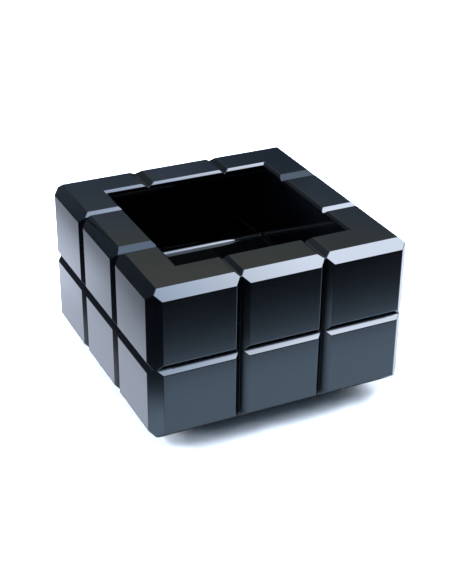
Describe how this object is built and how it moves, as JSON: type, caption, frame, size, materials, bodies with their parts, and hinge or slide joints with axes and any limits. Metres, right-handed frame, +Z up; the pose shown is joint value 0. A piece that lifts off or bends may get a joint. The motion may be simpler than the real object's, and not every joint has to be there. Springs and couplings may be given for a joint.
{
  "type": "block-pattern glass dish",
  "caption": "Square open-topped dish of solid black glass, cut with V grooves to look like stacked blocks, with a deep square pocket and stick-on bumper feet.",
  "frame": {"origin": "centre of the footprint, on the surface that the feet stand on", "axes": "+Z up out of the pocket; -Y is the front face; the body's four sides are square to X and Y"},
  "size_m": [0.1, 0.1, 0.0608],
  "materials": {
    "black_glass": "polished, opaque black, sharp reflections",
    "bumper_silicone": "satin, smoke grey",
    "adhesive": "tacky acrylic film"
  },
  "bodies": {
    "root": {"dish_body": "black_glass", "foot_front_left": "bumper_silicone", "foot_front_right": "bumper_silicone", "foot_back_left": "bumper_silicone", "foot_back_right": "bumper_silicone", "foot_adhesive_front_left": "adhesive", "foot_adhesive_front_right": "adhesive", "foot_adhesive_back_left": "adhesive", "foot_adhesive_back_right": "adhesive"}
  },
  "joints": []
}
